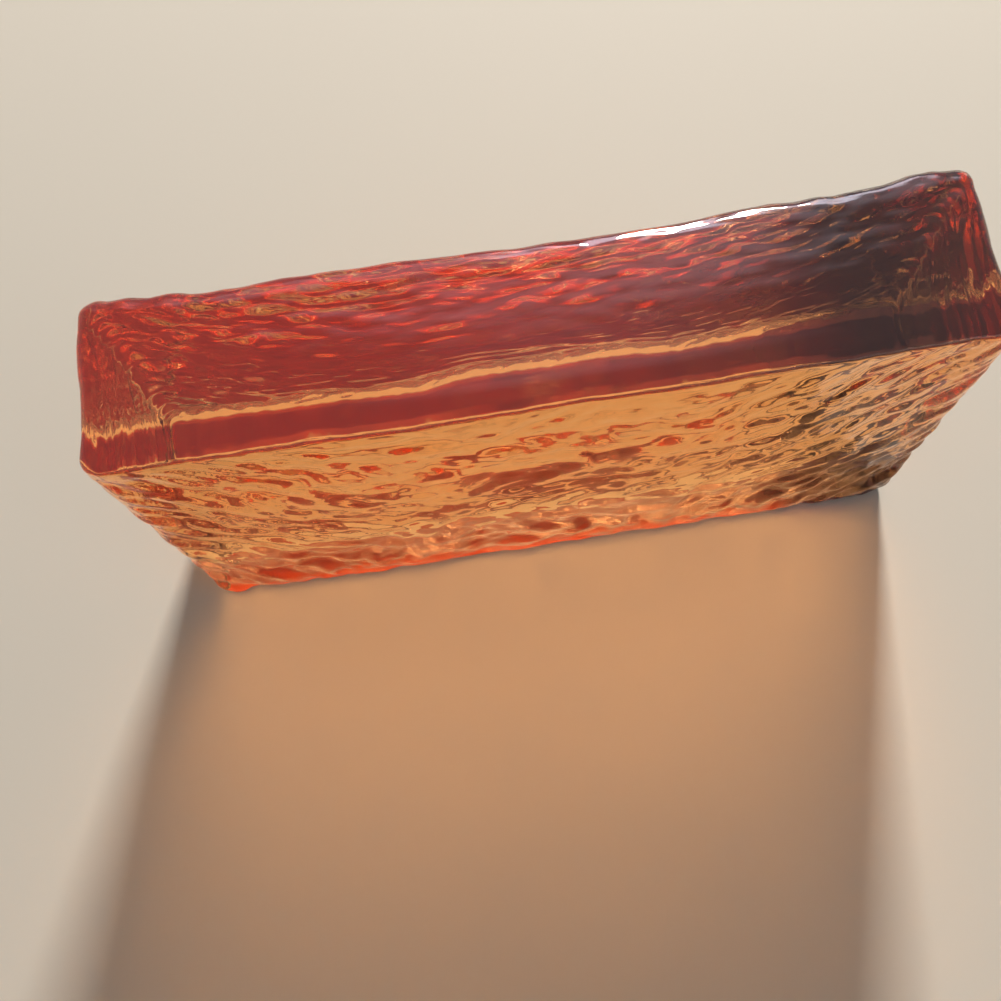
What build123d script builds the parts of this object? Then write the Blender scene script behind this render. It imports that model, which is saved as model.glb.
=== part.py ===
from build123d import *
import math
import os

# A solid block of cast glass, made in one pour and standing on one of its long narrow faces.
# X runs along its length, Y from its front to its back and Z up from the face it rests on.

# The three sizes of a standard brick
LENGTH = 240.0
THICKNESS = 53.0
HEIGHT = 115.0

# The rounding that the glass takes along the upright edges and along the rims
UPRIGHT_EDGE = 6.0
RIM_EDGE = 4.5

# Seen from above, the block is no true rectangle. Glass shrinks as it cools, so the back
# and the ends sink between their corners, and the front keeps a belly with a dip in it.
BACK_SINK = 3.3
RIGHT_SINK = 1.9
LEFT_SINK = 0.6
LEFT_SKEW = 1.2
BELLY = 1.0
BELLY_DIP = 0.7
DIP_SHARE = 0.3

# Inside its rims each face is a shallow dish, this deep at its middle
LARGE_DISH = 1.0
END_DISH = 0.6
TOP_DISH = 0.5
# The plain strip between the rounding of an edge and the dish
RIM_LAND = 1.0

# The water waves of the two large faces: height, length along the block and length up it
LONG_WAVE = 0.5
LONG_WAVE_X = 96.0
LONG_WAVE_Z = 32.0
CROSS_WAVE = 0.32
CROSS_WAVE_X = 60.0
CROSS_WAVE_Z = 42.0
# How far a long wave wanders up and down on its way, as an angle, and over what share of the length
WANDER = 1.2
WANDER_SHARE = 0.31
# The gentler waves of the two ends
END_WAVE = 0.35
END_WAVE_Y = 60.0
END_WAVE_Z = 37.0

# Distance between the points that a dish is drawn through, and how far they go past the block
STEP = 4.5
MARGIN = 6.0
# How far a dish's cutter reaches out of the block
REACH = 20.0


def belly(x, length):
    """How far the front stands out from its two corners, as seen from above."""
    middle = DIP_SHARE * length / 2
    rest = length / 2 - middle
    slope = 2 * BELLY_DIP / middle
    if abs(x) < middle:
        return BELLY - BELLY_DIP * (1 - (x / middle) ** 2)
    past = abs(x) - middle
    return BELLY + slope * past - (BELLY / rest + slope) * past**2 / rest


def plan(length, thickness):
    """The block seen from above, with rounded corners, drawn in arcs around its back and front."""
    most = max(belly(length * i / 400, length) for i in range(200))
    front_y, back_y = most - thickness / 2, thickness / 2
    back_left, back_right = (-length / 2, back_y), (length / 2, back_y)
    front_left, front_right = (LEFT_SKEW - length / 2, front_y), (length / 2, front_y)
    dip_x, dip_y = DIP_SHARE * length / 2, front_y - BELLY

    back = ThreePointArc(back_left, (0, back_y - BACK_SINK), back_right)
    right = ThreePointArc(back_right, (length / 2 - RIGHT_SINK, 0), front_right)
    dip = ThreePointArc((dip_x, dip_y), (0, dip_y + BELLY_DIP), (-dip_x, dip_y))
    near_right = TangentArc(dip @ 0, front_right, tangent=(dip % 0) * -1)
    near_left = TangentArc(dip @ 1, front_left, tangent=dip % 1)
    left = ThreePointArc(front_left, (LEFT_SKEW / 2 + LEFT_SINK - length / 2, 0), back_left)

    outline = make_face([back, right, near_right, dip, near_left, left])
    corners = [v for v in outline.vertices() if abs(v.X) > length / 3]
    return fillet(corners, UPRIGHT_EDGE)


def inside(a, half_a, b, half_b):
    """1 in the middle of a dish, 0 on its edge and less than 0 past it; a and b are from its middle."""
    return 1 - ((a / half_a) ** 8 + (b / half_b) ** 8) ** (3 / 8)


def water(x, z, turn):
    """Height of the water waves at a point of a large face; turn gives each face its own pattern."""
    bend = WANDER * math.sin(2 * math.pi * x / (WANDER_SHARE * LENGTH) + 1.7 * turn)
    long_wave = math.sin(2 * math.pi * (z / LONG_WAVE_Z + x / LONG_WAVE_X) + bend + turn)
    cross = math.sin(2 * math.pi * (x / CROSS_WAVE_X - z / CROSS_WAVE_Z) + 2.3 * turn)
    return LONG_WAVE * long_wave + CROSS_WAVE * cross


def large_dish(x, z, turn):
    """Depth of a large face below the plain curve between its rims."""
    return inside(x, HALF_LONG, z - HEIGHT / 2, HALF_HIGH) * (LARGE_DISH + water(x, z, turn))


def end_dish(y, z, turn):
    """Depth of an end below the plain curve between its rims."""
    wave = END_WAVE * math.sin(2 * math.pi * (z / END_WAVE_Z + y / END_WAVE_Y) + turn)
    return inside(y, HALF_DEEP, z - HEIGHT / 2, HALF_HIGH) * (END_DISH + wave)


def front_face(x, z):
    return (x, FRONT_CORNERS - belly(x, LONG_SIDE) + large_dish(x, z, 0.4), z)


def back_face(x, z):
    sink = BACK_SINK * (1 - (2 * x / LONG_SIDE) ** 2)
    return (x, DEEP_SIDE / 2 - sink - large_dish(x, z, 2.9), z)


def left_face(y, z):
    lean = LEFT_SKEW * (1 - 2 * y / DEEP_SIDE) / 2
    sink = LEFT_SINK * (1 - (2 * y / DEEP_SIDE) ** 2)
    return (lean + sink + end_dish(y, z, 0.8) - LONG_SIDE / 2, y, z)


def right_face(y, z):
    sink = RIGHT_SINK * (1 - (2 * y / DEEP_SIDE) ** 2)
    return (LONG_SIDE / 2 - sink - end_dish(y, -z, 2.6), y, z)


def top_face(x, y):
    return (x, y, HEIGHT - TOP_DISH * inside(x, HALF_LONG, y, HALF_TOP))


def ticks(low, high):
    """Evenly spaced places from just before low to just after high."""
    count = round((high - low + 2 * MARGIN) / STEP)
    size = (high - low + 2 * MARGIN) / count
    return [low - MARGIN + size * i for i in range(count + 1)]


def cutter(face, columns, rows, outward):
    """The space outside a waved face, drawn as a smooth sheet and pushed away from the block."""
    points = [[face(a, b) for a in columns] for b in rows]
    sheet = Face.make_surface_from_array_of_points(points, tol=0.01, min_deg=3, max_deg=3)
    return Solid.extrude(sheet, Vector(*outward) * REACH)


# Rounding the pointed corners takes a little off the overall sizes, so draw the plan that much larger
first = plan(LENGTH, THICKNESS).bounding_box().size
LONG_SIDE = 2 * LENGTH - first.X
DEEP_SIDE = 2 * THICKNESS - first.Y
FRONT_CORNERS = max(belly(LENGTH * i / 400, LONG_SIDE) for i in range(200)) - DEEP_SIDE / 2

# Half the sizes of the dishes
HALF_LONG = LENGTH / 2 - UPRIGHT_EDGE - RIM_LAND
HALF_DEEP = THICKNESS / 2 - UPRIGHT_EDGE - RIM_LAND
HALF_HIGH = HEIGHT / 2 - RIM_EDGE - RIM_LAND
HALF_TOP = THICKNESS / 2 - BACK_SINK - RIM_EDGE - RIM_LAND

# Raise the plan to the block's height and round both rims
block = extrude(plan(LONG_SIDE, DEEP_SIDE), HEIGHT)
rims = [e for e in block.edges() if e.bounding_box().size.Z < 1e-3]
block = fillet(rims, RIM_EDGE)

# Sink the waved faces into the five sides that the block doesn't stand on
along = ticks(-LENGTH / 2, LENGTH / 2)
across = ticks(-THICKNESS / 2, THICKNESS / 2)
upward = ticks(0, HEIGHT)
block -= cutter(front_face, along, upward, (0, -1, 0))
block -= cutter(back_face, along, upward, (0, 1, 0))
block -= cutter(left_face, across, upward, (-1, 0, 0))
block -= cutter(right_face, across, upward, (1, 0, 0))
block -= cutter(top_face, along, across, (0, 0, 1))

# Put the middle of the block's own outline over the origin, with the resting face on the floor
box = block.bounding_box()
block = Pos(-box.center().X, -box.center().Y, -box.min.Z) * block
print("size", [round(v, 2) for v in block.bounding_box().size], "volume", round(block.volume))

os.makedirs("parts", exist_ok=True)
export_step(block, "parts/glass_block.step")
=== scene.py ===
# %% [markdown]
# # A solid block of cast amber glass
#
# The real block is one pour of glass, the size of a brick, that stands on one of its long
# narrow faces. Everything that the eye sees in it comes from four things: the form of its
# faces, the way glass bends light, the amber that light picks up on its way through, and
# the dim red foot that shows through the top, whose ruby, dark right end and glow are
# painted shade and painted light. So this scene builds those four with care, and adds only
# a floor, two lamps and a soft sky.
#
# How large the block is and where it stands is already settled in its CAD solid, so that
# is loaded first. What is built here is a finer skin that stands for the same node.

import math

import bpy
import numpy as np
from mathutils import Matrix, Vector


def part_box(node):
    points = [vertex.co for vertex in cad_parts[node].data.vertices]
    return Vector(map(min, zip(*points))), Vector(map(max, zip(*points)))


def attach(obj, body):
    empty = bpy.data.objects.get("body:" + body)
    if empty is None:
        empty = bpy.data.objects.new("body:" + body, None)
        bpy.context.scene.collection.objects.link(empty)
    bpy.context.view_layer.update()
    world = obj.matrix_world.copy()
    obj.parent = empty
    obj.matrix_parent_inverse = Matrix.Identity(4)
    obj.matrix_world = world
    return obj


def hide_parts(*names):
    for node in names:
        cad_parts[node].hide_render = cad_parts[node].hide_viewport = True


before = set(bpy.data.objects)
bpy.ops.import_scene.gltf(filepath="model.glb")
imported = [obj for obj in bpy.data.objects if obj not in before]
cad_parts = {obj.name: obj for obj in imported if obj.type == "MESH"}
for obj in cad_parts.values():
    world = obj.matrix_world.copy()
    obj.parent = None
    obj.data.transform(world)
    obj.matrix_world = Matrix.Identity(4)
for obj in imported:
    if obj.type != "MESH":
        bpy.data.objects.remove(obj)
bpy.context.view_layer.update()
low, high = (np.array(corner) * 1000 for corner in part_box("glass_block"))
print("CAD block, lowest and highest corner in mm:", low.round(2), high.round(2))

# %% [markdown]
# ## The grid that the block is drawn on
#
# A block could be a cube with a Bevel and a Subdivision modifier, but then the waves would
# need a Displace modifier on top, and its points would lie where the bevel put them. Here
# the skin is one closed grid, like the paper round a box: six sides, each a function of
# two parameters, that share the points along their edges. The steps are small where the
# skin turns over an edge and on the two large faces, where the ripples are.

# %% Sizes, in millimetres
LENGTH, THICKNESS, HEIGHT = 240.0, 53.0, 115.0
HALF = np.array([LENGTH / 2, THICKNESS / 2, HEIGHT / 2])
EDGE = 6.0  # width of the zone in which the skin turns over an edge
EDGE_STEPS = 10  # grid steps across that zone
LONG_STEP, DEEP_STEP, TALL_STEP = 1.15, 1.4, 0.85  # grid steps elsewhere, along x, y and z


def ticks(half, step):
    """Places from -half to half: even steps of about step, and EDGE_STEPS steps in each zone.

    The places in a zone are tangents of even angles, because those become even steps when
    the square corner of the plan is rounded.
    """
    turn = np.tan(np.linspace(0, math.pi / 4, EDGE_STEPS + 1)) * EDGE
    middle = np.linspace(EDGE - half, half - EDGE, round(2 * (half - EDGE) / step) + 1)
    return np.concatenate([-half + EDGE - turn[::-1], middle[1:-1], half - EDGE + turn])


xs, ys, zs = ticks(HALF[0], LONG_STEP), ticks(HALF[1], DEEP_STEP), ticks(HALF[2], TALL_STEP)
print("grid", len(xs), "x", len(ys), "x", len(zs))


# %% The closed grid
def box_skin(nx, ny, nz):
    """Number the points on the outside of a box of nx x ny x nz points, and join them.

    Gives the three whole-number places of each point, and the four points of each square,
    in the order that makes the square face outwards.
    """
    number = np.full((nx, ny, nz), -1)
    outside = np.ones((nx, ny, nz), bool)
    outside[1:-1, 1:-1, 1:-1] = False
    number[outside] = np.arange(outside.sum())
    squares = []
    for axis in range(3):
        for end in (0, -1):
            side = np.take(number, end, axis=axis)
            loop = [side[:-1, :-1], side[1:, :-1], side[1:, 1:], side[:-1, 1:]]
            # on half the sides, the two other axes turn the wrong way round the way out
            if (axis == 1) != (end == 0):
                loop.reverse()
            squares.append(np.stack([corner.ravel() for corner in loop], 1))
    return np.argwhere(outside), np.concatenate(squares)


places, squares = box_skin(len(xs), len(ys), len(zs))
flat = np.stack([xs[places[:, 0]], ys[places[:, 1]], zs[places[:, 2]]], 1)
print("points", len(flat), "squares", len(squares))

# %% [markdown]
# ## Rounding the box
#
# Molten glass never fills a sharp corner. Seen from above, the corners of the block are
# quarter circles. Seen from the end, each rim has a profile of its own, and the looks hang
# on it: the front crest runs out nearly level and then turns down within a millimetre, so
# that it shows as a thin bright line, while the back one turns slowly. A Bevel modifier
# gives one profile to all edges. So each profile is drawn here as a row of arcs, and the
# skin is laid along it.


# %% Round the corners of the plan
def round_plan(p):
    """A point d = (dx, dy) past the core of the plan moves to d / |d| * max(|dx|, |dy|).

    Also gives the way out of the plan: d / |d| in a corner, and square to the nearest side
    elsewhere.
    """
    core = np.clip(p[:, :2], EDGE - HALF[:2], HALF[:2] - EDGE)
    past = p[:, :2] - core
    size = np.maximum(np.hypot(past[:, 0], past[:, 1]), 1e-9)[:, None]
    out = p.copy()
    out[:, :2] = core + past / size * np.abs(past).max(1)[:, None]
    gap = HALF[:2] - np.abs(p[:, :2])
    nearest = np.where((gap[:, 0] < gap[:, 1])[:, None], [1.0, 0.0], [0.0, 1.0])
    return out, np.where(size > 1e-6, past / size, nearest * np.sign(p[:, :2]))


rounded, outward = round_plan(flat)
print("corners of the plan drawn in by", round((1 - math.sqrt(0.5)) * EDGE, 2), "mm each way")

# %% Profiles of the rims
EVEN = np.linspace(0, 1, 400)  # places along a profile, from the lid to the wall
PER_TURN = 1.5  # mm of way that a radian of turn counts for: it draws grid steps to the bends


def rim_path(*arcs):
    """The profile of a rim, from EDGE inside the wall to EDGE below the lid.

    It is a row of arcs, each (length in mm, turn in degrees), between two straights: the
    heading grows evenly along each arc, and the place is the sum of its cosines and sines.
    Gives the gap to the wall and the depth below the lid at the places EVEN.
    """
    length, turn = np.array(arcs, float).T
    way = np.linspace(0, length.sum(), len(EVEN))
    heading = np.radians(np.interp(way, np.cumsum([0, *length]), np.cumsum([0, *turn])))
    step = way[1]
    between = (heading[1:] + heading[:-1]) / 2
    along = np.cumsum([0, *(np.cos(between) * step)])
    depth = np.cumsum([0, *(np.sin(between) * step)])
    gap = along[-1] - along
    way = way + PER_TURN * heading
    way = np.array([0, *(way + EDGE - gap[0]), way[-1] + 2 * EDGE - gap[0] - depth[-1]])
    even = np.linspace(0, way[-1], len(EVEN))
    return np.interp(even, way, [EDGE, *gap, 0]), np.interp(even, way, [0, *depth, EDGE])


def circle(radius):
    """A quarter circle as a rim: one arc of a quarter of the way round."""
    return rim_path((radius * math.pi / 2, 90))


# the rims of the front, the back and the ends
CREST_FRONT = rim_path((0.6, 7), (2.7, 5.5), (1.0, 77.5))
CREST_BACK = rim_path((3.8, 22), (1.6, 24), (2.0, 44))
CREST = (CREST_FRONT, CREST_BACK, circle(3.2))
FOOT = (circle(2.2), circle(5.4), circle(2.2))
for name, (gap, depth) in zip(("front", "back", "end"), CREST):
    starts, ends = gap[depth > 1e-3][0].round(1), depth[gap < 1e-3][0].round(1)
    print(name, "crest starts", starts, "mm in and ends", ends, "mm down")


# %% Lay the skin along the profiles
def round_rims(p, flat_p, outward):
    """Wall and lid meet in the profile of their rim, inside a zone EDGE wide.

    The lid takes the first half of the way round and the wall the second. The profiles of
    front, back and end are mixed by the squares of the way out, which add up to 1.
    """
    front, back = np.clip(-outward[:, 1], 0, 1) ** 2, np.clip(outward[:, 1], 0, 1) ** 2
    shares = (front, back, 1 - front - back)
    gap = (HALF[:2] - np.abs(flat_p[:, :2])).min(1)
    below = HALF[2] - np.abs(flat_p[:, 2])
    wall = gap < 1e-6
    way = np.clip(np.where(wall, 0.5 + below / EDGE / 2, 0.5 - gap / EDGE / 2), 0, 1)

    def mixed(rims, i):
        return sum(share * np.interp(way, EVEN, rim[i]) for share, rim in zip(shares, rims))

    up = flat_p[:, 2] > 0
    new_gap, new_below = (np.where(up, mixed(CREST, i), mixed(FOOT, i)) for i in (0, 1))
    zone = (gap < EDGE) & (below < EDGE) & (wall | (below < 1e-6))
    out = p.copy()
    out[zone, :2] += (outward * (gap - new_gap)[:, None])[zone]
    out[zone, 2] = (np.sign(flat_p[:, 2]) * (HALF[2] - new_below))[zone]
    return out


rounded = round_rims(rounded, flat, outward)
print("rounded box from", rounded.min(0).round(2), "to", rounded.max(0).round(2))

# %% [markdown]
# ## Waves without a texture
#
# The large sides are beaten like the surface of moving water. A Displace modifier with a
# Noise texture would give even lumps. Real water glass is drawn out along the block, has
# flat pools with steep banks between them, and wanders. So the height is built from smooth
# random numbers on lattices of a few sizes, all stretched along the block, bent by a
# slower field, and laid along flow lines that climb towards both ends.

# %% Smooth random fields
rng = np.random.default_rng(7)
TABLE = 64  # lattice points of a table each way, after which it repeats
NOISE_GAIN = 1.6  # brings the noise to a reach of about -1 to 1


def slopes():
    """A table of random unit slopes for one field."""
    turn = rng.uniform(0, 2 * math.pi, (TABLE, TABLE))
    return np.stack([np.cos(turn), np.sin(turn)], -1)


def field(u, v, table):
    """Gradient noise: a random slope at each lattice point, joined by a fifth-power curve."""
    u0, v0 = np.floor(u).astype(int), np.floor(v).astype(int)
    fu, fv = u - u0, v - v0
    su, sv = (f**3 * (f * (6 * f - 15) + 10) for f in (fu, fv))

    def corner(i, j):
        slope = table[(u0 + i) % TABLE, (v0 + j) % TABLE]
        return slope[..., 0] * (fu - i) + slope[..., 1] * (fv - j)

    near = corner(0, 0) * (1 - su) + corner(1, 0) * su
    far = corner(0, 1) * (1 - su) + corner(1, 1) * su
    return (near * (1 - sv) + far * sv) * NOISE_GAIN


front_tables = [slopes() for _ in range(6)]
back_tables = [slopes() for _ in range(6)]
end_tables = [slopes() for _ in range(6)]
top_tables = [slopes() for _ in range(2)]
print("tables of slopes", len(front_tables + back_tables + end_tables + top_tables))

# %% Flow lines
FLOW_LEVEL, FLOW_SLOPE = 35.0, 1.3  # half length of the level middle, and slope at the ends


def flow(x):
    """Height of a flow line: level in the middle, and a parabola up to both ends."""
    past = np.clip(np.abs(x) - FLOW_LEVEL, 0, None)
    return FLOW_SLOPE * past**2 / (2 * (LENGTH / 2 - FLOW_LEVEL))


def ramp(value, start, width):
    """0 up to start, and an even rise to 1 over the width after it."""
    return np.clip((value - start) / width, 0, 1)


print("flow lines climb", flow(LENGTH / 2).round(1), "mm to the ends")

# %% The ripple
SWELL, DIMPLE, STREAK, GRAIN = 0.60, 0.56, 0.28, 0.14  # heights, in mm
WANDER, SWAY = 6.0, 3.5  # how far the slow fields bend the ripple along and across


def rippled(x, z, tables, stretch):
    """Height of the ripple, in mm: swells, dimples, a fine grain, and streaks at the ends.

    Each is smooth noise of the place along and across the flow, divided by the size of its
    lattice in mm. Dimples and grain grow towards the ends as well.
    """
    u = (x + WANDER * field(x / 40, z / 28, tables[0])) / stretch
    v = z - flow(x) + SWAY * field(x / 34 + 9, z / 24, tables[1])
    ends = ramp(np.abs(x), 30, 60)
    swell = SWELL * field(u / 16, v / 12, tables[2])
    dimple = DIMPLE * (0.75 + 0.25 * ends) * field(u / 7, v / 6.4, tables[3])
    streak = STREAK * ends * field(u / 15, v / 4.4, tables[4])
    grain = GRAIN * (0.6 + 0.4 * ends) * field(u / 3.6, v / 2.8, tables[5])
    return swell + dimple + streak + grain


sample = rippled(*np.meshgrid(xs, zs), front_tables, 1.0)
print("ripple of the front from", sample.min().round(2), "to", sample.max().round(2), "mm")

# %% [markdown]
# ## The broad form of the faces
#
# Glass shrinks as it cools. The back and the ends sink between their corners, the back wall
# leans, and every face is a shallow dish inside its rims, with slow waves in it. One could
# sculpt this on a dense mesh. A height for each face, as a sum of a few plain curves, is
# easier to measure and to correct: each number below stands for one thing that was seen.

# %% Dishes and slow waves
LARGE_DISH, END_DISH, TOP_DISH = 0.8, 0.5, 0.4  # depths of the dishes, in mm
DISH_HALF = HALF - [7.0, 7.0, 5.5]  # half sizes of the dishes
LONG_WAVE = 0.08  # height of the slow waves


def inside(a, half_a, b, half_b):
    """1 in the middle of a dish, 0 at its rim: 1 less the cube of an eighth-power distance."""
    return np.clip(1 - ((a / half_a) ** 8 + (b / half_b) ** 8) ** (3 / 8), 0, 1)


def long_waves(x, z, turn):
    """Two slow sine waves across each other, the first of them wandering."""
    bend = 1.2 * np.sin(2 * math.pi * x / (0.31 * LENGTH) + 1.7 * turn)
    first = np.sin(2 * math.pi * (z / 32 + x / 96) + bend + turn)
    return LONG_WAVE * (first + 0.64 * np.sin(2 * math.pi * (x / 60 - z / 42) + 2.3 * turn))


def large_dish(x, z, turn):
    """The dish of a large face: its outline times its depth with the slow waves."""
    dish = inside(x, DISH_HALF[0], z, DISH_HALF[2])
    return dish * (LARGE_DISH + long_waves(x, z + HALF[2], turn))


def bell(x, middle, width, power=2):
    """1 in the middle and 1/e at the width: e to the minus of the distance to a power."""
    return np.exp(-(((x - middle) / width) ** power))


print("the large dish is", large_dish(0.0, 0.0, 0.4).round(2), "mm deep in the middle")

# %% The front
FRONT_INSET = 0.85  # mean depth, which keeps the highest ripple inside the box
CREST_FALL, CREST_WAVE = 0.6, 0.35  # how the crest falls back to the ends, and its slow wave
CREST_LIFT, CREST_CALM = 0.3, 0.6  # near the crest the front stands out, and is calmer
FOOT_INSET, FOOT_FALL = 0.1, 0.9  # the foot is straight and falls back at its corners
FOOT_RIPPLE = 1.4  # how much fuller the ripple is low down


def front_depth(x, z):
    """How far the front lies behind the furthest plane of the box.

    The line of the crest, which is level in the middle with a slow sine wave in it, turns
    into the line of the foot low down. Then come the dish and the ripple. The ripple is
    fuller just above the foot and calmer near the crest.
    """
    wave = CREST_WAVE * np.sin(x / 10.5 - 1.4) * bell(x, 0, 60, 4)
    line = CREST_FALL * ramp(np.abs(x + 4), 34, 50) ** 1.5 - wave
    foot = FOOT_INSET + FOOT_FALL * (x / HALF[0]) ** 4
    line = line + (foot - line) * ramp(-z, 10, 40)
    crest = ramp(z, 49, 7)
    low_down = 1 + FOOT_RIPPLE * ramp(-z, 18, 20) * ramp(z, -56, 10)
    ripple = (1 - CREST_CALM * crest) * low_down * rippled(x, z, front_tables, 1.0)
    return line + large_dish(x, z, 0.4) + FRONT_INSET - CREST_LIFT * crest - ripple


sample = front_depth(*np.meshgrid(xs, zs))
print("front lies", sample.min().round(2), "to", sample.max().round(2), "mm in")

# %% The back
BACK_SINK, BACK_DRAFT = 3.3, 2.5  # sinking of its middle, and lean from foot to top
BACK_INSET = 0.7  # mean depth, for the ripple
BACK_RIPPLE, BACK_ROWS = 0.7, 0.24  # share of the full ripple, and height of level rows in it
FOOT_BULGE = 3.0  # how much fuller the foot is in the middle
FEATHER = (0.5, 0.4)  # heights of the frayed marks along the foot, coarse and fine
# place along the top rim, depth and half width of its bumps; a minus stands out
BUMPS_LEFT = [(-85, 1.2, 13), (-40, -0.4, 12), (8, 0.5, 14)]
BUMPS_RIGHT = [(58, -0.8, 10), (82, 0.7, 9), (103, -0.8, 9)]


def back_depth(x, z):
    """How far the back lies before the furthest plane of the box.

    A parabola along the block, a straight lean, the dish, and a bulge at the foot. Then the
    ripple with level rows, which fade into slanting, frayed marks at the foot, and the
    bell-shaped bumps of the rim, which grow with the square of the height.
    """
    broad = BACK_SINK * (1 - (x / HALF[0]) ** 2) + BACK_DRAFT * (0.5 - z / HEIGHT)
    broad = broad + large_dish(x, z, 2.9) - FOOT_BULGE * bell(x, 3, 34, 6) * ramp(-z, 17, 40)
    near, deep, wide = np.array(BUMPS_LEFT + BUMPS_RIGHT).T[:, :, None]
    bumps = (deep * bell(x, near, wide)).sum(0)
    foot = ramp(-z, 48, 5)
    feather = FEATHER[0] * field((x - 1.2 * z) / 6, z / 3, back_tables[1])
    feather = feather + FEATHER[1] * field((x - 1.5 * z) / 2.6, z / 2, back_tables[2])
    rows = BACK_ROWS * (1 - foot) * (1.3 - x / 300)
    rows = rows * field(x / 13, (z + 0.04 * x) / 5.5, back_tables[3])
    waves = BACK_RIPPLE * rippled(x, z, back_tables, 1.6) + rows
    return broad + bumps * (0.5 + z / HEIGHT) ** 2 + BACK_INSET - waves + foot * feather


sample = back_depth(*(side.ravel() for side in np.meshgrid(xs, zs)))
print("back lies", sample.min().round(2), "to", sample.max().round(2), "mm in")

# %% The ends
RIGHT_SINK, RIGHT_SKEW = 2.9, 1.0  # sinking of the middle, and how far it is out of square
LEFT_SINK, LEFT_SKEW = 1.2, 1.2
END_INSET, TOP_INSET = 0.1, 1.0  # mean depth low down, and how much further in the top is
END_RIPPLE = 0.75  # share of the full ripple
CORNER_WAVE = 1.6  # depth of the nicks along the upright corners


def end_depths(y, z):
    """How far the left and the right end lie inside the furthest planes of the box.

    Each is a straight skew, a parabola and a dish. The same ripple comes on both, calmer
    low down, and the upright corners wave in and out by the size of a slow field.
    """
    v = y / HALF[1]
    left = LEFT_SKEW * (1 - v) / 2 + LEFT_SINK * (1 - v**2)
    right = RIGHT_SKEW * (1 - v) / 2 + RIGHT_SINK * (1 - v**2)
    calm = 0.5 + 0.5 * ramp(z, -50, 45)
    ripple = END_RIPPLE * calm * rippled(0.8 * y + 60, z, end_tables, 1.2)
    ripple = END_INSET + TOP_INSET * ramp(z, -10, 50) - ripple
    nicks = np.abs(field(z / 15 + 3.3 * np.sign(y), z / 60 + 0.3, end_tables[0]))
    ripple = ripple + CORNER_WAVE * v**4 * nicks
    dish = END_DISH * inside(y, DISH_HALF[1], z, DISH_HALF[2])
    return left + dish + ripple, right + dish + ripple


for name, sample in zip(("left", "right"), end_depths(*np.meshgrid(ys, zs))):
    print(name, "end lies", sample.min().round(2), "to", sample.max().round(2), "mm in")

# %% The top
TOP_RIPPLE = 0.14  # height of its ripple
SAG, GLINT_SAG = 0.7, 1.6  # sag of its back rim, and how much more where the long glint is


def top_depth(x, y):
    """How far the top lies below the highest plane of the box, apart from its dish.

    Long shallow ripples, which fade out towards the front, and a sag that grows with the
    square of the way to the back rim and is deepest in a bell round one place.
    """
    waves = field(x / 11, (y + 0.06 * x) / 2.6, top_tables[0])
    waves = waves + 0.5 * field(x / 6, y / 1.7, top_tables[1])
    sag = GLINT_SAG * bell(x, 42, 24) + SAG
    return TOP_RIPPLE * ramp(y, -8, 20) * (waves + 0.9) + sag * ramp(y, -4, 30) ** 2


sample = top_depth(*np.meshgrid(xs, ys))
print("top lies", sample.min().round(2), "to", sample.max().round(2), "mm down")

# %% [markdown]
# ## Pressing the form into the box
#
# Each depth squeezes the block towards its middle plane: a point half way between the
# middle and the face moves half as far as the face. That keeps the rounding of the
# rims whole while the rim itself wanders with the waves, as it does on the real block.


# %% Squeeze the rounded box
def pressed(p):
    """Multiply each coordinate by 1 less the depth of its own side over the half size."""
    x, y, z = p.T
    side = np.where(y > 0, back_depth(x, z), front_depth(x, z))
    left, right = end_depths(y, z)
    end = np.where(x > 0, right, left)
    top = TOP_DISH * inside(x, DISH_HALF[0], y, DISH_HALF[1]) * (z > 0)
    top = top + top_depth(x, y) * np.clip(z / HALF[2], 0, 1) ** 8
    squeezed = [x * (1 - end / HALF[0]), y * (1 - side / HALF[1]), z - top * z / HALF[2]]
    return np.stack(squeezed, 1)


form = pressed(rounded)
form[:, 2] += HALF[2]
# into the box of the CAD solid: its middle over the middle, and the foot on the floor
spare = (high - low) - (form.max(0) - form.min(0))
form += (high + low) / 2 - (form.max(0) + form.min(0)) / 2
form[:, 2] += low[2] - form[:, 2].min()
print("form from", form.min(0).round(2), "to", form.max(0).round(2), "spare", spare.round(2))

# %% [markdown]
# ## From points to a mesh
#
# A mesh can be built face by face with bmesh, which is slow for so many. foreach_set hands
# whole arrays over at once. The object stays at the origin, with its place in its points.
# One call ties it to the body it rides on, and the CAD part that it stands for is hidden.


# %% Make the mesh
def mesh_of(name, points, faces):
    """A mesh object from points in millimetres and squares of point numbers, shaded smooth."""
    mesh = bpy.data.meshes.new(name)
    mesh.vertices.add(len(points))
    mesh.vertices.foreach_set("co", (points / 1000).ravel())
    mesh.loops.add(faces.size)
    mesh.loops.foreach_set("vertex_index", faces.ravel())
    mesh.polygons.add(len(faces))
    mesh.polygons.foreach_set("loop_start", np.arange(0, faces.size, faces.shape[1]))
    mesh.polygons.foreach_set("use_smooth", np.ones(len(faces), bool))
    mesh.update(calc_edges=True)
    mesh.validate()
    piece = bpy.data.objects.new(name, mesh)
    bpy.context.scene.collection.objects.link(piece)
    return piece


block = mesh_of("cast_glass", form, squares)
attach(block, "root")
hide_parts("glass_block")
print("triangles", 2 * len(squares))

# %% [markdown]
# ## Amber glass
#
# The real block is gold through its 5 cm of thickness, and still no darker than tan where
# one looks down 12 cm along its back rim. Depth alone can't do both. So most of the amber
# is in the skin here: a Principled shader with full transmission tints light by the root
# of its Base Color each time that it crosses the skin, whatever the way between. A weak
# Volume Absorption adds the little that depth does. The index of soda glass, 1.5, bends
# and mirrors the light as the real block does, and that draws most of what one sees.

# %% Nodes from a few words
glass = bpy.data.materials.new("amber_cast_glass")
glass.use_nodes = True
recipe = glass.node_tree
recipe.nodes.clear()


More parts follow.
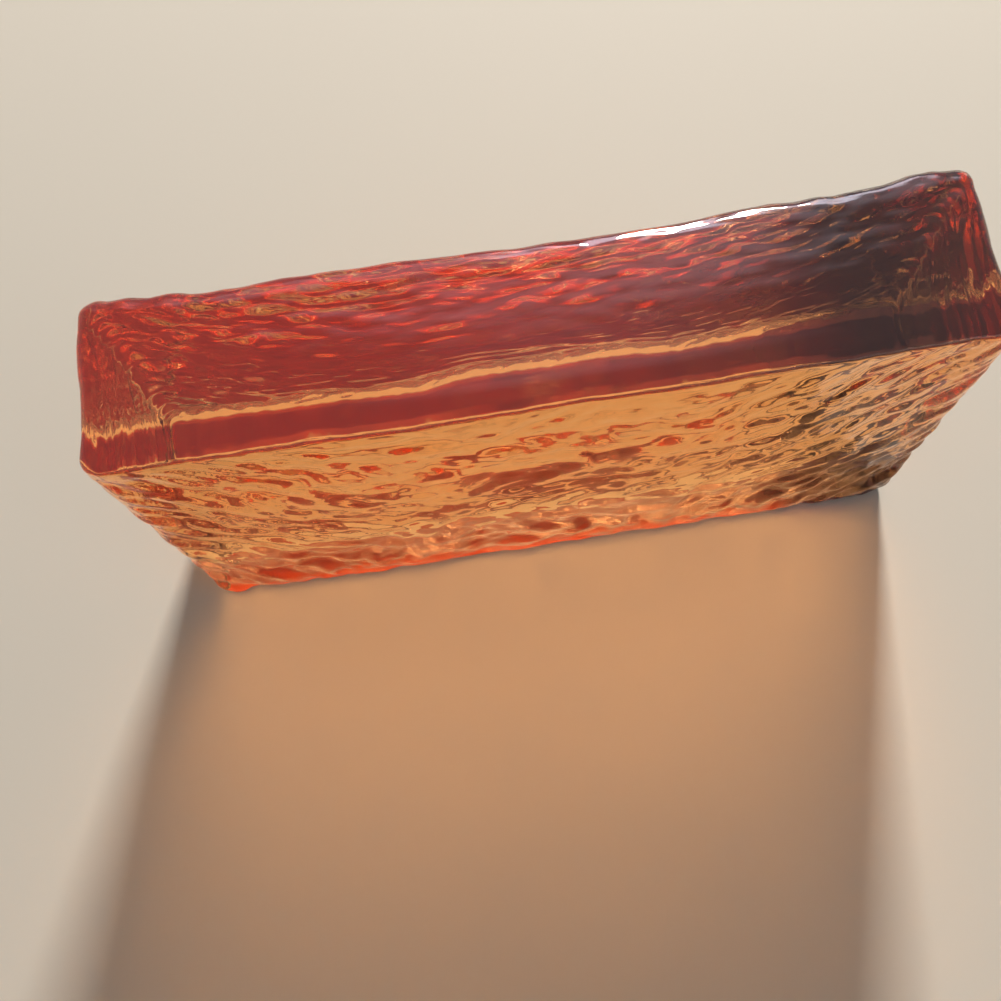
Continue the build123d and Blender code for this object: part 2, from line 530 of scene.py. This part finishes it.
def fill(tree, socket, value):
    """Put a number, a colour or a vector on an input, or link another node's output to it."""
    if isinstance(value, bpy.types.NodeSocket):
        tree.links.new(value, socket)
    else:
        socket.default_value = value


def node(tree, kind, *values, **named):
    """A new node, its inputs filled in order by the values and by name by the named ones."""
    made = tree.nodes.new(kind)
    for socket, value in zip(made.inputs, values):
        fill(tree, socket, value)
    for name, value in named.items():
        fill(tree, made.inputs[name.replace("_", " ")], value)
    return made


def reckon(operation, a, b, clamp=False, tree=recipe):
    """The result of a Math node of one kind on a and b, held between 0 and 1 if clamped."""
    made = node(tree, "ShaderNodeMath", a, b)
    made.operation, made.use_clamp = operation, clamp
    return made.outputs[0]


print("new material", glass.name)

# %% The clear glass
INDEX = 1.5
DEPTH_COLOUR, DEPTH_DENSITY = (0.97, 0.83, 0.66, 1), 12.0
clear = {"Base_Color": (1, 1, 1, 1), "Roughness": 0.0, "Transmission_Weight": 1.0}
skin = node(recipe, "ShaderNodeBsdfPrincipled", IOR=INDEX, **clear)
body = node(recipe, "ShaderNodeVolumeAbsorption", Color=DEPTH_COLOUR, Density=DEPTH_DENSITY)
node(recipe, "ShaderNodeOutputMaterial", Surface=skin.outputs[0], Volume=body.outputs[0])
left_over = [math.exp(-(1 - c) * DEPTH_DENSITY * THICKNESS / 1000) for c in DEPTH_COLOUR[:3]]
print("red, green and blue left by the depth of the block:", np.round(left_over, 2))

# %% [markdown]
# ## The satin foot, with painted shade and glow
#
# Through the top one looks down at the foot, and it is ruby, cloudy, and nearly black
# towards the right end. The foot of such a block is ground flat, which makes it satin. Its
# colours here are painted: the ruby is painted shade for the floor under the block, which
# only light through the glass reaches, the near black at the right end is painted shade,
# and an orange strip near the front and patches near the back are a painted glow of light
# through the foot. Paint on the foot could be a picture, but a picture has to be drawn and
# has an end. Here it is worked out from the place on the block: a share of the light is
# scattered back by a veil, which is 1 less the Transmission Weight, and clouds of noise
# mix the colours of that veil.


# %% Where the foot is
def rising(value, start, slope):
    """0 up to start, then rising to 1: the value less start, times slope, held in 0 to 1."""
    return reckon("MULTIPLY", reckon("SUBTRACT", value, start), slope, True)


def falling(value, end, slope):
    """0 from end on, rising to 1 before it: end less the value, times slope, held in 0 to 1."""
    return reckon("MULTIPLY", reckon("SUBTRACT", end, value), slope, True)


FOOT_ROUGHNESS = 0.14
SATIN_HEIGHT, SATIN_CLIMB = 0.0006, 0.0045  # in metres: on the foot, and more at the right
place = node(recipe, "ShaderNodeTexCoord").outputs["Object"]
px, py, pz = node(recipe, "ShaderNodeSeparateXYZ", place).outputs
satin_top = reckon("MULTIPLY", rising(px, 0.076, 33.0), SATIN_CLIMB)
satin_top = reckon("ADD", satin_top, SATIN_HEIGHT)
foot_share = falling(pz, satin_top, 3000.0)
fill(recipe, skin.inputs["Roughness"], reckon("MULTIPLY", foot_share, FOOT_ROUGHNESS))
print("satin up to", SATIN_HEIGHT * 1000, "mm, and", SATIN_CLIMB * 1000, "mm more at the right")

# %% Clouds, and the painted glow near the front and the back of the foot
FOOT_VEIL = 0.58  # share of light that the plain part of the foot scatters back
GLOW_AND_FLECK_VEIL = 0.6  # how much thicker the veil is in the painted glow and in the flecks
# one cloud drawn out into rows along the block, and a broader, even one
long_rows = node(recipe, "ShaderNodeMapping", place, Scale=(0.45, 1.3, 1)).outputs[0]
cloud = node(recipe, "ShaderNodeTexNoise", long_rows, Scale=160.0, Detail=1.0).outputs[0]
broad_cloud = node(recipe, "ShaderNodeTexNoise", place, Scale=48.0, Detail=1.0).outputs[0]
# painted glow of light through the foot: a strip along the front and patches near the back; and
# faint flecks everywhere
near_front = falling(py, -0.012, 110.0)
patches = reckon("MULTIPLY", rising(py, 0.015, 150.0), rising(broad_cloud, 0.5, 6.0))
flecks = rising(cloud, 0.6, 1.0)
glow_and_flecks = reckon("ADD", reckon("ADD", near_front, patches), flecks, True)
glow_and_flecks = reckon("MULTIPLY", glow_and_flecks, falling(px, 0.091, 40.0))
# the veil: thicker in the light of the cloud, in the painted glow and in the flecks
mottle = reckon("ADD", reckon("MULTIPLY", cloud, 0.5), 0.75)
thicker = reckon("ADD", reckon("MULTIPLY", glow_and_flecks, GLOW_AND_FLECK_VEIL), 1.0)
veil = reckon("MULTIPLY", reckon("MULTIPLY", mottle, thicker), FOOT_VEIL, True)
let_through = reckon("SUBTRACT", 1.0, reckon("MULTIPLY", foot_share, veil))
fill(recipe, skin.inputs["Transmission Weight"], let_through)
print("veil", FOOT_VEIL, "plain and", round(FOOT_VEIL * (1 + GLOW_AND_FLECK_VEIL), 2), "in glow_and_fleck_spots")

# %% Colours of the skin, with painted light and shade on the foot
AMBER, LIT_RIM_AMBER = (1.0, 0.52, 0.19, 1), (1.0, 0.74, 0.40, 1)  # the low back rim is paler: painted light from behind that comes through it
RUBY, RIGHT_SHADE_COLOUR = (0.56, 0.04, 0.02, 1), (0.035, 0.010, 0.02, 1)  # painted shade of the foot: ruby on the left, near black at the right
# the orange red of the painted glow and of the flecks
GLOW_AND_FLECK_RED = (0.95, 0.11, 0.015, 1)


def colour_mix(share, first, second):
    """A colour between the first and the second: first * (1 - share) + second * share."""
    made = node(recipe, "ShaderNodeMix", share)
    made.data_type = "RGBA"
    colours = (socket for socket in made.inputs if socket.type == "RGBA")
    for socket, value in zip(colours, (first, second)):
        fill(recipe, socket, value)
    return next(socket for socket in made.outputs if socket.type == "RGBA")


# painted light: the skin of the low back rim is paler, as if more light came through it from
# behind
lit_back_rim = reckon("MULTIPLY", falling(pz, 0.007, 500.0), rising(py, 0.016, 300.0))
# painted shade: the foot grows darker towards its right end
shade_to_right = reckon("POWER", rising(px, -0.07, 5.6), 2.0)
# rows of the cloud darken or lighten the ruby, less and less as the painted shade at the right
# comes on
rows = reckon("MULTIPLY", reckon("SUBTRACT", cloud, 0.46), 0.9)
rows = reckon("MULTIPLY", rows, reckon("SUBTRACT", 1.0, shade_to_right))
# the foot: painted shade in ruby, darker to the right, with the painted glow and the flecks
# over it
foot_shade_and_glow = colour_mix(glow_and_flecks, colour_mix(reckon("ADD", shade_to_right, rows, True), RUBY, RIGHT_SHADE_COLOUR), GLOW_AND_FLECK_RED)
tint = colour_mix(foot_share, colour_mix(lit_back_rim, AMBER, LIT_RIM_AMBER), foot_shade_and_glow)
fill(recipe, skin.inputs["Base Color"], tint)
print("tint of one crossing:", np.sqrt(AMBER[:3]).round(2))

# %% [markdown]
# ## Fine ripples
#
# Between the ripples of the mesh lie finer ones, two or three millimetres wide and about a
# tenth of a millimetre high. A mesh that shows them well would need ten times as many
# squares, so they are a bump here. They follow the flow lines of the mesh, because the
# place across the flow goes into the noise instead of the height. They stop just below the
# top, which is smooth.

# %% Bump along the flow lines
BUMP_HEIGHT = 0.00013  # in metres, between the lowest and the highest noise
FINE_SCALE = (110, 110, 330)  # lattice points in a metre: three times as many across the flow
past = reckon("SUBTRACT", reckon("ABSOLUTE", px, 0), FLOW_LEVEL / 1000)
past = reckon("MAXIMUM", past, 0.0)
steepening = FLOW_SLOPE / (2 * (LENGTH / 2 - FLOW_LEVEL) / 1000)
rise = reckon("MULTIPLY", reckon("MULTIPLY", past, past), steepening)
along_flow = node(recipe, "ShaderNodeCombineXYZ", px, py, reckon("SUBTRACT", pz, rise))
drawn = node(recipe, "ShaderNodeMapping", along_flow.outputs[0], Scale=FINE_SCALE)
fine = node(recipe, "ShaderNodeTexNoise", drawn.outputs[0], Scale=1.0, Detail=1.0).outputs[0]
height = reckon("MULTIPLY", fine, falling(pz, 0.1135, 250.0))
bump = node(recipe, "ShaderNodeBump", Strength=1.0, Distance=BUMP_HEIGHT, Height=height)
fill(recipe, skin.inputs["Normal"], bump.outputs[0])
block.data.materials.append(glass)
print("nodes in the glass", len(recipe.nodes))

# %% [markdown]
# ## The floor
#
# The floor is a plain pale sheet that runs on past the view. The block stands on it with
# a breath of air between, so the foot keeps its own mirror and satin, as the real one does.
# A thicker slab would do as well, but one square is all that can be seen of it.

# %% Floor
FLOOR_DROP, FLOOR_HALF = 0.0003, 3.0  # in metres
FLOOR_COLOUR, FLOOR_ROUGHNESS = (0.70, 0.64, 0.55, 1), 0.8
corners = [(-FLOOR_HALF, -FLOOR_HALF), (FLOOR_HALF, -FLOOR_HALF)]
corners += [(FLOOR_HALF, FLOOR_HALF), (-FLOOR_HALF, FLOOR_HALF)]
floor_mesh = bpy.data.meshes.new("floor")
floor_mesh.from_pydata([(*corner, -FLOOR_DROP) for corner in corners], [], [(0, 1, 2, 3)])
floor = bpy.data.objects.new("floor", floor_mesh)
bpy.context.scene.collection.objects.link(floor)
pale = bpy.data.materials.new("pale_floor")
pale.use_nodes = True
pale_skin = pale.node_tree.nodes["Principled BSDF"]
pale_skin.inputs["Base Color"].default_value = FLOOR_COLOUR
pale_skin.inputs["Roughness"].default_value = FLOOR_ROUGHNESS
floor_mesh.materials.append(pale)
print("floor", 2 * FLOOR_HALF, "m square,", FLOOR_DROP * 1000, "mm below the foot")

# %% [markdown]
# ## The sky
#
# Glass has no looks of its own: it shows what is round it. An even sky would leave it dull,
# and a picture on the sky would show in it as that picture. So this sky is two in one.
# What lights the floor is dim and even. What the eye, a mirror or the glass meets is pale,
# with a broad glow behind the block and a small bright halo round the low lamp, which
# makes the long soft glint on the back rim.

# %% World
SOFT_COLOUR, SOFT_STRENGTH = (0.9, 0.95, 1.0, 1), 0.15  # what lights the scene
SEEN_COLOUR = (0.9, 0.86, 1.0, 1)  # what is seen, at the strength of glow and halo
BEHIND, LOW_LAMP = (0.10, 0.80, 0.59), (0.2535, 0.8772, 0.4069)  # directions of the two
world = bpy.data.worlds.new("studio")
bpy.context.scene.world = world
world.use_nodes = True
sky = world.node_tree
look = node(sky, "ShaderNodeTexCoord").outputs["Generated"]


def brightening(direction, begins, full, least, most):
    """Strength that goes from least to most as a ray turns to the direction.

    It is a smooth step of the cosine between the two, from begins to full.
    """
    cosine = node(sky, "ShaderNodeVectorMath", look, direction)
    cosine.operation = "DOT_PRODUCT"
    step = node(sky, "ShaderNodeMapRange", cosine.outputs["Value"], begins, full, least, most)
    step.interpolation_type = "SMOOTHSTEP"
    return step.outputs[0]


soft = sky.nodes["Background"]
soft.inputs["Color"].default_value = SOFT_COLOUR
soft.inputs["Strength"].default_value = SOFT_STRENGTH
glow = brightening(BEHIND, begins=0.895, full=0.965, least=0.6, most=2.0)
halo = brightening(LOW_LAMP, begins=0.965, full=0.998, least=0.0, most=7.0)
seen = node(sky, "ShaderNodeBackground", SEEN_COLOUR, reckon("ADD", glow, halo, tree=sky))
ray = node(sky, "ShaderNodeLightPath").outputs
is_seen = reckon("ADD", ray["Is Glossy Ray"], ray["Is Transmission Ray"], tree=sky)
is_seen = reckon("ADD", is_seen, ray["Is Camera Ray"], True, sky)
both = node(sky, "ShaderNodeMixShader", is_seen, soft.outputs[0], seen.outputs[0])
fill(sky, sky.nodes["World Output"].inputs["Surface"], both.outputs[0])
print("nodes in the sky", len(sky.nodes))

# %% [markdown]
# ## The lamps
#
# One lamp low behind the block does the work: its light goes through the glass and lays an
# amber patch on the floor in front. A point lamp would give that patch hard edges, so this
# is an area lamp of 42 cm, three metres off. A faint second one in front opens the shade.


# %% Lamps
def lamp(name, place, target, size, power, colour):
    """A square area lamp that faces its target; place, target and size in metres."""
    data = bpy.data.lights.new(name, "AREA")
    data.shape = "RECTANGLE"
    data.energy, data.size, data.size_y, data.color = power, size, size, colour
    made = bpy.data.objects.new(name, data)
    bpy.context.scene.collection.objects.link(made)
    made.location = place
    toward = Vector(target) - Vector(place)
    made.rotation_euler = toward.to_track_quat("-Z", "Y").to_euler()
    return made


MIDDLE = (0, 0, 0.05)
low_lamp = lamp("low_back_lamp", (0.76, 2.63, 1.22), MIDDLE, 0.42, 144, (1.0, 0.95, 0.88))
faint_lamp = lamp("front_lamp", (0.9, -0.8, 1.4), MIDDLE, 0.9, 2, (0.95, 0.97, 1.0))
for made in (low_lamp, faint_lamp):
    print(made.name, "stands", round(made.location.length, 2), "m off")

# %% [markdown]
# ## The camera
#
# The photograph looks down at the block from close by, at about seventy degrees below the
# horizon, with the camera turned a little so that the block rises to the right. Its place
# and its two directions were fitted to the block's outline and to the line of its crest.

# %% Camera
EYE = Vector((-0.01755, -0.12311, 0.32528))
RIGHT = Vector((0.98836, -0.14455, -0.04735)).normalized()
AHEAD = Vector((0.00461, 0.33957, -0.94057)).normalized()
UP = RIGHT.cross(AHEAD)
FOCAL, FRAME, SENSOR = 961.4, 1001, 36  # focal length and frame in pixels, sensor in mm
camera_data = bpy.data.cameras.new("camera")
camera_data.sensor_width = SENSOR
camera_data.lens = FOCAL / FRAME * SENSOR
camera_data.clip_start = 0.01
camera = bpy.data.objects.new("camera", camera_data)
bpy.context.scene.collection.objects.link(camera)
turned = Matrix((RIGHT, UP, -AHEAD)).transposed()
camera.matrix_world = Matrix.Translation(EYE) @ turned.to_4x4()
bpy.context.scene.camera = camera
print("camera looks down by", round(math.degrees(math.asin(-AHEAD.z))), "degrees")

# %% [markdown]
# ## Settings that belong to the scene
#
# Light crosses the block's skin many times before it comes out, and each crossing or
# mirroring is a bounce. A ray that runs out of bounces ends black, so the limit is a little
# above the usual 12. A much higher one costs time and shows nothing more.

# %% Bounces and colour
BOUNCES, CLEAR_BOUNCES = 14, 4
scene = bpy.context.scene
scene.view_settings.view_transform = "Standard"
scene.cycles.max_bounces = BOUNCES
scene.cycles.transmission_bounces = BOUNCES
scene.cycles.transparent_max_bounces = CLEAR_BOUNCES
print("bounces", BOUNCES)

# %% Update the view layer
bpy.context.view_layer.update()
